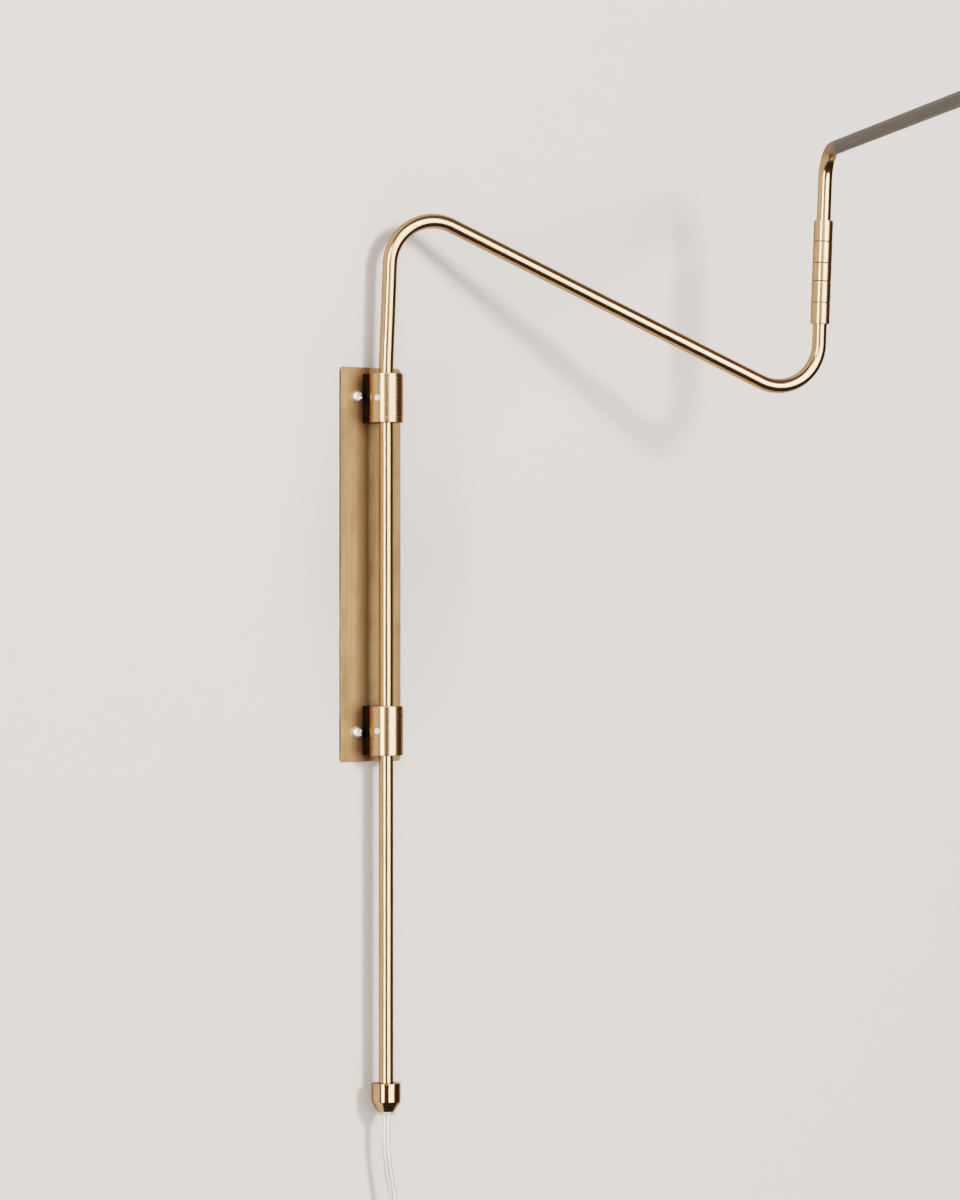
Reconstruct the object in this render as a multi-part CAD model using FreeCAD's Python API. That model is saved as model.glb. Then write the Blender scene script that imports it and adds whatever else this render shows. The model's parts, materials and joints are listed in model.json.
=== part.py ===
import FreeCAD, Part
import math
from FreeCAD import Rotation, Placement, Vector

# Swing arm wall sconce, in millimetres.
# +Z up, the wall is the plane y = 0, the room is on the -Y side, +X to the right.
# Origin: centre of the wall plate's back face.

# ---- driving dimensions -------------------------------------------------
tube_od, tube_id = 9.525, 7.53           # 3/8 in brass tube
axis_y = -17.6                           # swing axis, in front of the wall

plate_w, plate_h, plate_t = 50.8, 260.0, 1.6
plate_corner = 2.4
screw_x, screw_z = 12.1, 110.6           # wall screws, each side of the centre
screw_hole, screw_neck, screw_r = 2.45, 2.3, 2.1

collar_od, collar_h, collar_z = 22.2, 32.5, 109.4
block_w = 14.0                           # standoff between plate and collar
bush_od = 12.0
run_gap = 0.05                           # radial clearance of every running fit

swing_rest = 22.4                        # degrees out from the wall
lean = 2.25                              # degrees that arm 1 leans outwards above the collars
kink_z, kink_r = 130.0, 150.0
reach_1, reach_2 = 305.0, 457.0          # 12 in and 18 in
top_corner, low_corner = 112.6, -12.7    # heights of arm 1's corners above the kink
bend_r, elbow_r = 30.0, 20.0             # centreline radii of the bends
arm_2_azimuth = -119.3
arm_2_rise = 163.2                       # arm 2's centreline above the kink
tail_z = -349.0                          # bottom end of the tube, inside the ferrule

ring_od, ring_h, middle_ring_h = 13.0, 14.5, 12.4
knuckle_base = 45.6                      # above the kink
ring_edge = 0.3

leg_end = 44.0                           # end of the short leg below arm 2's centreline
cord_d = 5.2

# ---- directions ---------------------------------------------------------
up = Vector(0, 0, 1)
out_1 = Vector(math.cos(math.radians(swing_rest)), -math.sin(math.radians(swing_rest)), 0)
lean_rad = math.radians(lean)
along_1 = out_1 * math.cos(lean_rad) - up * math.sin(lean_rad)
rise = out_1 * math.sin(lean_rad) + up * math.cos(lean_rad)
heading = Vector(math.cos(math.radians(arm_2_azimuth)), math.sin(math.radians(arm_2_azimuth)), 0)
along_2 = (heading - rise * heading.dot(rise)).normalize()

kink = Vector(0, axis_y, kink_z)


def on_arm_1(reach, height):
    return kink + along_1 * reach + rise * height


knuckle = on_arm_1(reach_1, knuckle_base)
elbow = on_arm_1(reach_1, arm_2_rise)
far_corner = elbow + along_2 * reach_2


# ---- building blocks ----------------------------------------------------
def save(name, *solids):
    shape = solids[0] if len(solids) == 1 else Part.makeCompound(list(solids))
    shape.exportStep("parts/%s.step" % name)
    print("%-22s %9.1f mm3" % (name, shape.Volume), "valid" if shape.isValid() else "NOT VALID")


def rod(radius, start, end):
    return Part.makeCylinder(radius, (end - start).Length, start, end - start)


def turned(profile):
    """Solid of revolution about Z from (radius, height) points."""
    outline = Part.makePolygon([Vector(r, 0, z) for r, z in profile + profile[:1]])
    return Part.Face(outline).revolve(Vector(0, 0, 0), up, 360)


def sleeve(outer, inner, low, high, edge=0.0):
    """Turned ring with its outer edges broken by a small chamfer."""
    if not edge:
        return turned([(inner, low), (outer, low), (outer, high), (inner, high)])
    return turned([(inner, low), (outer - edge, low), (outer, low + edge),
                   (outer, high - edge), (outer - edge, high), (inner, high)])


def lifted(shape, base):
    """Stand a shape made on Z along arm 1's leaned axis, at base."""
    shape = shape.copy()
    shape.Placement = Placement(base, Rotation(up, rise))
    return shape


def route(points, radii):
    """Straight runs joined by tangent arcs: one radius for each inner point."""
    edges, start = [], points[0]
    for k, radius in enumerate(radii):
        before, at, after = points[k], points[k + 1], points[k + 2]
        a, b = (at - before).normalize(), (after - at).normalize()
        turn = math.acos(max(-1.0, min(1.0, a.dot(b))))
        trim = radius * math.tan(turn / 2)
        enter, leave = at - a * trim, at + b * trim
        inward = (b - a).normalize()
        centre = at + inward * (radius / math.cos(turn / 2))
        middle = centre - inward * radius
        edges += [Part.LineSegment(start, enter).toShape(), Part.Arc(enter, middle, leave).toShape()]
        start = leave
    edges.append(Part.LineSegment(start, points[-1]).toShape())
    return Part.Wire(edges)


def swept(path, radius):
    start = path.Edges[0]
    direction = start.tangentAt(start.FirstParameter)
    ring = Part.Wire(Part.makeCircle(radius, start.valueAt(start.FirstParameter), direction))
    return path.makePipeShell([ring], True, False)


def pipe(path, outer, inner):
    return swept(path, outer).cut(swept(path, inner))


def cord_radii(points):
    radii = []
    for before, at, after in zip(points, points[1:], points[2:]):
        turn = (at - before).getAngle(after - at)
        shorter = min((at - before).Length, (after - at).Length)
        radii.append(0.45 * shorter / math.tan(turn / 2))
    return radii


# ---- wall bracket -------------------------------------------------------
wall_screw_at = [Vector(x, 0, z) for x in (-screw_x, screw_x) for z in (-screw_z, screw_z)]
block_screw_z = [s * collar_z + t for s in (-1, 1) for t in (-9.0, 9.0)]
m3_hole, m3_shank, m3_head = 1.6, 1.45, 2.8
toward_room = Vector(0, -1, 0)


def countersunk(clearance=0.0):
    """M3 flat head along -Y with its head face at y = 0."""
    head = Part.makeCone(m3_head + clearance, m3_shank + clearance, 1.4, Vector(0, 0, 0), toward_room)
    return head.fuse(rod(m3_shank + clearance, Vector(0, 0, 0), Vector(0, -9.4, 0))).removeSplitter()


def wall_plate():
    plate = Part.makeBox(plate_w, plate_t, plate_h, Vector(-plate_w / 2, -plate_t, -plate_h / 2))
    corners = [e for e in plate.Edges if abs(e.tangentAt(e.FirstParameter).y) > 0.99]
    plate = plate.makeFillet(plate_corner, corners)
    front = [e for f in plate.Faces if abs(f.CenterOfMass.y + plate_t) < 0.01 for e in f.Edges]
    plate = plate.makeChamfer(0.25, front)
    for at in wall_screw_at:
        plate = plate.cut(rod(screw_hole, at + Vector(0, 1, 0), at - Vector(0, plate_t + 1, 0)))
    for z in block_screw_z:
        sink = countersunk(0.15)
        sink.translate(Vector(0, 0, z))
        plate = plate.cut(sink)
    return plate


def wall_screw(at):
    """Pan-head wood screw with a cross recess, driven along +Y. Its plain neck ends behind the plate."""
    neck_end = plate_t + 0.3
    profile = [(0, -2.9), (1.6, -2.8), (2.9, -2.3), (3.75, -1.2), (3.95, 0), (screw_neck, 0),
               (screw_neck, neck_end), (screw_r, neck_end), (screw_r, 26.0), (0, 30.5)]
    screw = turned(profile)
    for turn in (45, 135):
        slot = Part.makeBox(4.4, 0.95, 1.7, Vector(-2.2, -0.475, -3.0))
        slot.rotate(Vector(0, 0, 0), up, turn)
        screw = screw.cut(slot)
    screw.Placement = Placement(at - Vector(0, plate_t, 0), Rotation(up, Vector(0, 1, 0)))
    return screw


def standoff(z):
    """Block between plate and collar, its front hollowed to the collar's curve."""
    block = Part.makeBox(block_w, -axis_y - plate_t, collar_h,
                         Vector(-block_w / 2, axis_y, z - collar_h / 2))
    block = block.cut(Part.makeCylinder(collar_od / 2, collar_h + 2,
                                        Vector(0, axis_y, z - collar_h / 2 - 1), up))
    for zs in (z - 9.0, z + 9.0):
        block = block.cut(rod(m3_hole, Vector(0, 0, zs), Vector(0, -9.0, zs)))
    return block


set_screw_azimuth = math.radians(-90 - 72)
set_screw_out = Vector(math.cos(set_screw_azimuth), math.sin(set_screw_azimuth), 0)


def collar(z):
    body = sleeve(collar_od / 2, bush_od / 2, -collar_h / 2, collar_h / 2, 0.4)
    body.translate(Vector(0, axis_y, z))
    for zs in (z - 9.0, z + 9.0):
        body = body.cut(rod(m3_hole, Vector(0, 0, zs), Vector(0, -9.8, zs)))
    centre = Vector(0, axis_y, z)
    return body.cut(rod(2.05, centre, centre + set_screw_out * 14))


def bush(z):
    body = sleeve(bush_od / 2, tube_od / 2 + run_gap, -collar_h / 2 + 0.3, collar_h / 2 - 0.3)
    body.translate(Vector(0, axis_y, z))
    centre = Vector(0, axis_y, z)
    return body.cut(rod(2.05, centre, centre + set_screw_out * 14))


def set_screw(z):
    """M4 hexagon socket set screw with a soft tip that bears on the tube."""
    centre = Vector(0, axis_y, z)
    body = rod(2.0, centre + set_screw_out * (tube_od / 2 + run_gap), centre + set_screw_out * 10.85)
    corners = [Vector(1.15 * math.cos(math.radians(a)), 1.15 * math.sin(math.radians(a)), 0)
               for a in range(0, 361, 60)]
    socket = Part.Face(Part.makePolygon(corners)).extrude(Vector(0, 0, 3))
    socket.Placement = Placement(centre + set_screw_out * 8.8, Rotation(up, set_screw_out))
    return body.cut(socket)


save("wall_plate", wall_plate())
save("wall_screws", *[wall_screw(at) for at in wall_screw_at])
for name, side in (("upper", 1), ("lower", -1)):
    z = side * collar_z
    save(name + "_standoff", standoff(z))
    save(name + "_collar", collar(z))
    save(name + "_bush", bush(z))
    save(name + "_set_screw", set_screw(z))
standoff_screws = [countersunk() for _ in block_screw_z]
for screw, z in zip(standoff_screws, block_screw_z):
    screw.translate(Vector(0, 0, z))
save("standoff_screws", *standoff_screws)

# ---- first arm: pole, two bends and the lower half of the knuckle ------
knuckle_h = 4 * ring_h + middle_ring_h
arm_1_end = knuckle_base + 2 * ring_h
arm_1_points = [Vector(0, axis_y, tail_z), kink, on_arm_1(0, top_corner),
                on_arm_1(reach_1, low_corner), on_arm_1(reach_1, arm_1_end)]
arm_1_bends = [kink_r, bend_r, bend_r]
save("first_arm_tube", pipe(route(arm_1_points, arm_1_bends), tube_od / 2, tube_id / 2))

ferrule_top, ferrule_step, ferrule_foot = -341.1, -353.3, -359.9
ferrule = turned([(tube_od / 2, ferrule_top), (9.2, ferrule_top), (9.525, ferrule_top - 0.3),
                  (9.525, ferrule_step), (5.3, ferrule_foot), (3.55, ferrule_foot),
                  (3.55, tail_z - 1.0), (tube_od / 2, tail_z - 1.0)])
ferrule.translate(Vector(0, axis_y, 0))
save("tail_ferrule", ferrule)

pivot_r, pivot_bore = 3.7, 2.5
levels = [0, ring_h, 2 * ring_h, 2 * ring_h + middle_ring_h, 3 * ring_h + middle_ring_h, knuckle_h]
pivot_top = levels[4] - 1.0
nut_floor = levels[3] + 3.2


def ring(number):
    """Turned knuckle ring, 1 at the bottom and 5 at the top."""
    low, high = levels[number - 1], levels[number]
    bore = {1: tube_od / 2, 2: tube_od / 2, 3: pivot_r, 4: pivot_r + run_gap, 5: tube_od / 2}[number]
    if number == 3:
        low, high = low + 0.3, high - 0.3
    body = sleeve(ring_od / 2, bore, low, high, ring_edge)
    if number == 4:
        body = body.cut(Part.makeCylinder(5.3, ring_h, Vector(0, 0, nut_floor)))
    return body


for number in range(1, 6):
    save("knuckle_ring_%d" % number, lifted(ring(number), knuckle))
washers = [sleeve(ring_od / 2 - 0.5, pivot_r + run_gap, levels[2], levels[2] + 0.3),
           sleeve(ring_od / 2 - 0.5, pivot_r + run_gap, levels[3] - 0.3, levels[3] - 0.05)]
save("knuckle_washers", *[lifted(w, knuckle) for w in washers])
pivot = turned([(pivot_bore, 4.0), (pivot_r, 4.0), (pivot_r, pivot_top), (pivot_bore, pivot_top)])
save("knuckle_pivot", lifted(pivot, knuckle))
nut_corners = [Vector(4.9 * math.cos(math.radians(a)), 4.9 * math.sin(math.radians(a)), nut_floor + 0.1)
               for a in range(0, 361, 60)]
nut = Part.Face(Part.makePolygon(nut_corners)).extrude(Vector(0, 0, 3.0))
nut = nut.cut(Part.makeCylinder(pivot_r, 5, Vector(0, 0, nut_floor)))
save("knuckle_nut", lifted(nut, knuckle))

wire_r = 1.8
wire_split = knuckle_base + pivot_top - 2.0
wire_1_points = [Vector(0, axis_y, -361.0)] + arm_1_points[1:4] + [on_arm_1(reach_1, wire_split)]
save("first_arm_wire", swept(route(wire_1_points, arm_1_bends), wire_r))

# ---- second arm ---------------------------------------------------------
arm_2_start = knuckle_base + levels[4] + 0.5
leg_foot = far_corner - rise * leg_end
arm_2_points = [on_arm_1(reach_1, arm_2_start), elbow, far_corner, leg_foot]
save("second_arm_tube", pipe(route(arm_2_points, [elbow_r, elbow_r]), tube_od / 2, tube_id / 2))
wire_2_points = [on_arm_1(reach_1, wire_split + 0.1), elbow, far_corner, far_corner - rise * 60.0]
save("second_arm_wire", swept(route(wire_2_points, [elbow_r, elbow_r]), wire_r))


# ---- lamp holder and bulb, heights measured down from arm 2's centreline
def hung(shape):
    return lifted(shape, far_corner)


cap = turned([(tube_od / 2, -33.0), (6.3, -33.0), (6.6, -33.3), (6.6, -44.0), (9.5, -46.2), (14.2, -49.2),
              (16.6, -53.0), (17.4, -57.5), (17.4, -64.0), (16.6, -64.0), (16.6, -57.5), (15.8, -53.4),
              (13.7, -50.2), (9.0, -47.4), (5.6, -45.5), (tube_od / 2, -45.5)])
save("socket_cap", hung(cap))
lock_nut = sleeve(9.0, tube_od / 2 + 0.02, -33.0, -30.0, 0.4)
save("cap_lock_ring", hung(lock_nut))
knob_z = -74.0
stem_r, stem_hole = 2.0, 3.0
knob_way = rod(stem_hole, Vector(0, 0, knob_z), Vector(30, 0, knob_z))
shell = turned([(15.9, -58.5), (16.55, -58.5), (16.55, -101.2), (17.1, -102.4), (17.1, -103.4),
                (16.3, -104.0), (15.9, -103.4)]).cut(knob_way)
save("socket_shell", hung(shell))
liner = sleeve(15.85, 15.35, -102.5, -58.6).cut(knob_way)
save("socket_liner", hung(liner))
core = turned([(2.2, -62.0), (15.2, -62.0), (15.2, -79.0), (2.2, -79.0)])
core = core.cut(rod(stem_hole, Vector(6.9, 0, knob_z), Vector(30, 0, knob_z)))
terminal_at = [Vector(0, s * 9.0, -62.0) for s in (-1, 1)]
for at in terminal_at:
    core = core.cut(Part.makeCylinder(1.5, 6.0, at - up * 6.0))
save("socket_core", hung(core))


def terminal(at):
    screw = Part.makeCylinder(2.9, 1.6, at).fuse(Part.makeCylinder(1.5, 5.0, at - up * 5.0))
    return screw.removeSplitter().cut(Part.makeBox(6, 0.8, 0.8, Vector(-3, at.y - 0.4, -61.2)))


save("terminal_screws", *[hung(terminal(at)) for at in terminal_at])
screw_shell = sleeve(14.0, 13.45, -100.5, -79.5)
shell_floor = turned([(9.5, -79.0), (14.0, -79.0), (14.0, -79.5), (9.5, -79.5)])
screw_shell = screw_shell.fuse(shell_floor).removeSplitter()
save("screw_shell", hung(screw_shell))
contact = turned([(0, -79.0), (4.2, -79.0), (4.2, -79.6), (2.4, -80.6), (0, -80.6)])
save("centre_contact", hung(contact))

bulb_base = turned([(9.8, -82.6), (12.6, -84.2), (13.2, -85.4), (12.6, -86.8), (13.2, -88.4), (12.6, -90.0),
                    (13.2, -91.6), (12.6, -93.2), (13.2, -94.8), (12.6, -96.4), (13.2, -98.0), (12.9, -108.5),
                    (12.2, -108.5), (12.2, -85.0), (9.8, -83.4)])
save("bulb_base", hung(bulb_base))
bulb_tip = turned([(0, -80.7), (4.4, -80.7), (4.8, -81.4), (9.7, -82.5), (9.7, -83.6), (0, -84.6)])
save("bulb_tip", hung(bulb_tip))


def bulb_glass():
    """Pear-shaped opal envelope with a 1 mm wall, open at the base."""
    neck_r = 12.1

    def skin(wall):
        neck = Part.LineSegment(Vector(neck_r - wall, 0, -99.0), Vector(neck_r - wall, 0, -110.0)).toShape()
        flank = Part.BSplineCurve()
        flank.interpolate([Vector(neck_r - wall, 0, -110.0), Vector(18.2 - wall, 0, -125.0),
                           Vector(26.6 - wall, 0, -141.0), Vector(30.0 - wall, 0, -158.0)],
                          InitialTangent=Vector(0.05, 0, -1), FinalTangent=Vector(0, 0, -1))
        radius = 30.0 - wall
        middle = Vector(radius * math.sin(math.radians(45)), 0, -158.0 - radius * math.cos(math.radians(45)))
        dome = Part.Arc(Vector(radius, 0, -158.0), middle, Vector(0, 0, -158.0 - radius)).toShape()
        return [neck, flank.toShape(), dome]
    lid = Part.LineSegment(Vector(neck_r - 1.0, 0, -99.0), Vector(neck_r, 0, -99.0)).toShape()
    pole = Part.LineSegment(Vector(0, 0, -188.0), Vector(0, 0, -187.0)).toShape()
    outline = Part.Wire(Part.__sortEdges__(skin(0) + [pole] + skin(1.0) + [lid]))
    return Part.Face(outline).revolve(Vector(0, 0, 0), up, 360)


save("bulb_glass", hung(bulb_glass()))

# switch: a stem through the shell's side and a turned knob on it
stem = turned([(0, 7.2), (stem_r, 7.2), (stem_r, 24.0), (0, 24.0)])
knob = turned([(stem_r, 20.0), (4.6, 20.0), (5.7, 21.0), (5.9, 22.2), (5.9, 28.6), (5.0, 29.6), (0, 30.2),
               (0, 24.0), (stem_r, 24.0)])
knob_seat = far_corner + rise * knob_z
toward_knob = Rotation(up, rise).multVec(Vector(1, 0, 0))
for name, shape in (("switch_stem", stem), ("switch_knob", knob)):
    shape.Placement = Placement(knob_seat, Rotation(up, toward_knob))
    save(name, shape)

# ---- cord that leaves the ferrule --------------------------------------
bushing = turned([(2.75, -351.4), (3.5, -351.4), (3.5, -359.95), (5.3, -359.95), (5.3, -361.3),
                  (4.9, -361.8), (2.75, -361.8)])
bushing.translate(Vector(0, axis_y, 0))
save("cord_bushing", bushing)

lead_points = [Vector(0, axis_y, -361.8), Vector(0.3, axis_y, -380.0), Vector(3.6, -17.1, -402.0),
               Vector(8.3, -17.4, -426.0), Vector(10.9, -18.3, -448.0), Vector(11.2, -18.8, -466.0)]
tail_points = [Vector(11.2, -18.8, -560.0), Vector(11.5, -19.2, -569.0), Vector(11.0, -19.0, -577.7)]
for name, points in (("cord_lead", lead_points), ("cord_tail", tail_points)):
    radii = cord_radii(points)
    path = route(points, radii)
    solid = swept(path, cord_d / 2)
    print(name, "radii", [round(r, 1) for r in radii], "volume",
          round(solid.Volume / (math.pi * cord_d ** 2 / 4 * path.Length), 4))
    save(name, solid)

hank_top, hank_foot, hank_r, waist, hank_depth = -466.0, -560.0, 18.5, 8.0, 22.4
hank_x, hank_y = 11.2, -18.8


def hank():
    """Outer shape of the folded cord: two round ends pinched at a tied waist."""
    middle = (hank_top + hank_foot) / 2
    top, foot = hank_top - hank_r, hank_foot + hank_r
    y = hank_y - hank_depth / 2

    def at(x, z):
        return Vector(hank_x + x, y, z)

    edges = [Part.Arc(at(hank_r, top), at(0, hank_top), at(-hank_r, top)).toShape()]
    left = [(-hank_r, top), (-waist, middle + 6), (-waist, middle - 6), (-hank_r, foot)]
    edges += [Part.LineSegment(at(*a), at(*b)).toShape() for a, b in zip(left, left[1:])]
    edges.append(Part.Arc(at(-hank_r, foot), at(0, hank_foot), at(hank_r, foot)).toShape())
    right = [(-x, z) for x, z in reversed(left)]
    edges += [Part.LineSegment(at(*a), at(*b)).toShape() for a, b in zip(right, right[1:])]
    return Part.Face(Part.Wire(edges)).extrude(Vector(0, hank_depth, 0))


def tie():
    """Soft band round the hank's waist."""
    middle = (hank_top + hank_foot) / 2

    def bar(x, y):
        return Part.makeBox(2 * x, 2 * y, 10.0, Vector(hank_x - x, hank_y - y, middle - 5.0))

    return bar(waist + 1.2, hank_depth / 2 + 1.2).cut(bar(waist, hank_depth / 2))


save("cord_hank", hank())
save("cord_tie", tie())

plug_top = -578.0
plug_at = Vector(11.0, -19.0, plug_top)


def plug_body():
    """Moulded two-blade plug, narrow at the cord and flat at the blades."""
    neck = Part.makeCone(3.6, 5.2, 9.0, plug_at, up * -1)
    wide = Part.makeBox(24.0, 12.0, 21.0, plug_at - Vector(12.0, 6.0, 30.0))
    wide = wide.makeFillet(3.5, [e for e in wide.Edges if abs(e.tangentAt(e.FirstParameter).z) > 0.9])
    return neck.fuse(wide).removeSplitter()


def blade(side):
    body = Part.makeBox(1.5, 6.35, 17.0, plug_at + Vector(side * 6.35 - 0.75, -3.175, -47.0))
    return body.makeChamfer(0.4, [e for e in body.Edges if e.CenterOfMass.z < plug_top - 46.9])


save("plug_body", plug_body())
save("plug_blades", blade(-1), blade(1))
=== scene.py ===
# Swing arm wall sconce: brass pole in two collars, ringed swivel, lamp holder, clear cord.
# Metres. +Z is up, the wall is the plane y = 0 and the room is on the -Y side.
import json
import math

import bpy
import bmesh
from mathutils import Matrix, Vector


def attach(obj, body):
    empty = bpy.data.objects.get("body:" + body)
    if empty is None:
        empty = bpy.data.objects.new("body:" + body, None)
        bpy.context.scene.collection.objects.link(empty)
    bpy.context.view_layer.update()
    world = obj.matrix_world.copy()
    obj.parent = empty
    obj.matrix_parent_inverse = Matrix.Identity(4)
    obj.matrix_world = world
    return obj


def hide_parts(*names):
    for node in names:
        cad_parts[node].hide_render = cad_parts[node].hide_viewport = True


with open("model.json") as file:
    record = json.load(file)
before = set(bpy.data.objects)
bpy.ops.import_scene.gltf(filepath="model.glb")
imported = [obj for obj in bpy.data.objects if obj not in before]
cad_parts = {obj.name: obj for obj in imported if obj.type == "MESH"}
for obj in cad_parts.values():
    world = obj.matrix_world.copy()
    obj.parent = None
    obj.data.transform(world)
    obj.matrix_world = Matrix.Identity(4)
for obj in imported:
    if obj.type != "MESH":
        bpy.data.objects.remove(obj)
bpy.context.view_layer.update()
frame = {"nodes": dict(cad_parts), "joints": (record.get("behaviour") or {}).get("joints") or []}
nodes = frame["nodes"]
joints = {joint["name"]: joint for joint in frame["joints"]}
mm = 0.001
up = Vector((0, 0, 1))
print("frame loaded,", len(nodes), "nodes")


# small helpers for node trees

def addNode(tree, kind, sockets=None, **settings):
    node = tree.nodes.new(kind)
    for name, value in settings.items():
        setattr(node, name, value)
    for name, value in (sockets or {}).items():
        if isinstance(value, bpy.types.NodeSocket):
            tree.links.new(value, node.inputs[name])
        else:
            node.inputs[name].default_value = value
    return node


def newTree(name, inputs):
    # a geometry tree with one named input for each size
    tree = bpy.data.node_groups.new(name, "GeometryNodeTree")
    tree.interface.new_socket("Geometry", in_out="INPUT", socket_type="NodeSocketGeometry")
    for label, kind in inputs.items():
        tree.interface.new_socket(label, in_out="INPUT", socket_type="NodeSocket" + kind)
    tree.interface.new_socket("Geometry", in_out="OUTPUT", socket_type="NodeSocketGeometry")
    return tree, tree.nodes.new("NodeGroupInput").outputs


def endTree(tree, geometry, material):
    real = addNode(tree, "GeometryNodeRealizeInstances", {"Geometry": geometry})
    painted = addNode(tree, "GeometryNodeSetMaterial", {"Geometry": real.outputs[0], "Material": material})
    end = tree.nodes.new("NodeGroupOutput")
    tree.links.new(painted.outputs[0], end.inputs[0])
    return tree


def mathNode(tree, operation, a, b=0.0):
    return addNode(tree, "ShaderNodeMath", {0: a, 1: b}, operation=operation).outputs[0]


# materials

def newMaterial(name, **constants):
    material = bpy.data.materials.new(name)
    material.use_nodes = True
    shader = material.node_tree.nodes["Principled BSDF"]
    for socket, value in constants.items():
        shader.inputs[socket.replace("_", " ")].default_value = value
    return material, material.node_tree, shader


def noiseOn(tree, vector, scale, detail=4.0, stretch=(1, 1, 1), rough=0.55):
    mapped = addNode(tree, "ShaderNodeMapping", {"Vector": vector, "Scale": stretch})
    return addNode(tree, "ShaderNodeTexNoise", {"Vector": mapped.outputs[0], "Scale": scale, "Detail": detail,
                                                "Roughness": rough}).outputs["Fac"]


def remap(tree, value, low, high, toLow=0.0, toHigh=1.0):
    return addNode(tree, "ShaderNodeMapRange", {0: value, 1: low, 2: high, 3: toLow, 4: toHigh}).outputs[0]


def mixColours(tree, factor, first, second):
    return addNode(tree, "ShaderNodeMix", {0: factor, 6: first, 7: second}, data_type="RGBA").outputs[2]


def edgeMask(tree, radius):
    # bright along sharp edges: rubbed wear, and a painted highlight where the edges catch the light
    bevel = addNode(tree, "ShaderNodeBevel", {"Radius": radius}, samples=6)
    shape = addNode(tree, "ShaderNodeNewGeometry")
    dot = addNode(tree, "ShaderNodeVectorMath", {0: bevel.outputs[0], 1: shape.outputs["Normal"]},
                  operation="DOT_PRODUCT").outputs["Value"]
    return remap(tree, dot, 0.995, 0.90)


def surfaceVector(tree, follows):
    # Object coordinates, or along a bent tube: its rim direction and its run
    if not follows:
        return addNode(tree, "ShaderNodeTexCoord").outputs["Object"]
    rim = addNode(tree, "ShaderNodeAttribute", attribute_name="rim").outputs["Vector"]
    run = addNode(tree, "ShaderNodeAttribute", attribute_name="run").outputs["Fac"]
    lengthwise = addNode(tree, "ShaderNodeCombineXYZ", {"Z": run}).outputs[0]
    return addNode(tree, "ShaderNodeVectorMath", {0: rim, 1: lengthwise}, operation="ADD").outputs["Vector"]


def brassFinish(name, finish, follows=False):
    material, tree, shader = newMaterial(name, Metallic=1.0, Specular_Tint=finish["edgeTint"])
    where = surfaceVector(tree, follows)
    grain = noiseOn(tree, where, finish["grainScale"], 3.0, finish["grainStretch"])
    cloud = noiseOn(tree, where, finish["cloudScale"], 5.0, finish.get("cloudStretch", (1, 1, 1)))
    patina = remap(tree, cloud, 0.42, 0.66, 0.0, finish["patina"])
    colour = mixColours(tree, patina, finish["bright"] + (1,), finish["aged"] + (1,))
    streak = remap(tree, grain, 0.3, 0.7, 0.0, finish["streak"])
    colour = mixColours(tree, streak, colour, finish["deep"] + (1,))
    # edges mixed towards lighter brass: rubbed wear and a painted edge highlight
    if finish["wearAndHighlight"]:
        wornAndHighlight = mathNode(tree, "MULTIPLY", edgeMask(tree, finish["wearAndHighlightWidth"]), finish["wearAndHighlight"])
        colour = mixColours(tree, wornAndHighlight, colour, finish["rubbedAndHighlight"] + (1,))
    low, high = finish["roughness"]
    roughness = remap(tree, grain, 0.3, 0.7, low, high)
    roughness = mathNode(tree, "ADD", roughness, mathNode(tree, "MULTIPLY", patina, finish["patinaRoughness"]))
    if "paintedShadeFrom" in finish:  # painted shade: past this point the tube is painted dark grey-brown and made less metallic and rougher
        run = addNode(tree, "ShaderNodeAttribute", attribute_name="run").outputs["Fac"]
        paintedShade = remap(tree, run, *finish["paintedShadeFrom"])
        colour = mixColours(tree, paintedShade, colour, mixColours(tree, cloud, finish["paintedShadeDark"] + (1,),
                                                           finish["paintedShadeLight"] + (1,)))
        roughness = mathNode(tree, "ADD", roughness, mathNode(tree, "MULTIPLY", paintedShade, finish["paintedShadeRoughness"]))
        tree.links.new(remap(tree, paintedShade, 0.0, 1.0, 1.0, 0.2), shader.inputs["Metallic"])
    if "blackSide" in finish:  # the plate's left cut side is painted near-black, broken up in patches
        along = addNode(tree, "ShaderNodeSeparateXYZ", {"Vector": where}).outputs["X"]
        patches = remap(tree, noiseOn(tree, where, 22.0, 2.0, (1, 1, 0.45)), 0.56, 0.64, 1.0, 0.25)
        black = mathNode(tree, "MULTIPLY", remap(tree, along, *finish["blackSide"], 1.0, 0.0), patches)
        colour = mixColours(tree, black, colour, (0.018, 0.014, 0.012, 1))
    bump = addNode(tree, "ShaderNodeBump", {"Strength": finish["grainDepth"], "Distance": 0.0002, "Height": grain})
    tree.links.new(colour, shader.inputs["Base Color"])
    tree.links.new(roughness, shader.inputs["Roughness"])
    tree.links.new(bump.outputs[0], shader.inputs["Normal"])
    return material


def plainMetal(name, light, dark, roughness, scale, depth=0.15):
    material, tree, shader = newMaterial(name, Metallic=1.0)
    where = surfaceVector(tree, False)
    speckle = noiseOn(tree, where, scale, 5.0)
    tree.links.new(mixColours(tree, remap(tree, speckle, 0.35, 0.65), light + (1,), dark + (1,)),
                   shader.inputs["Base Color"])
    tree.links.new(remap(tree, speckle, 0.3, 0.7, *roughness), shader.inputs["Roughness"])
    bump = addNode(tree, "ShaderNodeBump", {"Strength": depth, "Distance": 0.0001, "Height": speckle})
    tree.links.new(bump.outputs[0], shader.inputs["Normal"])
    return material


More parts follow.
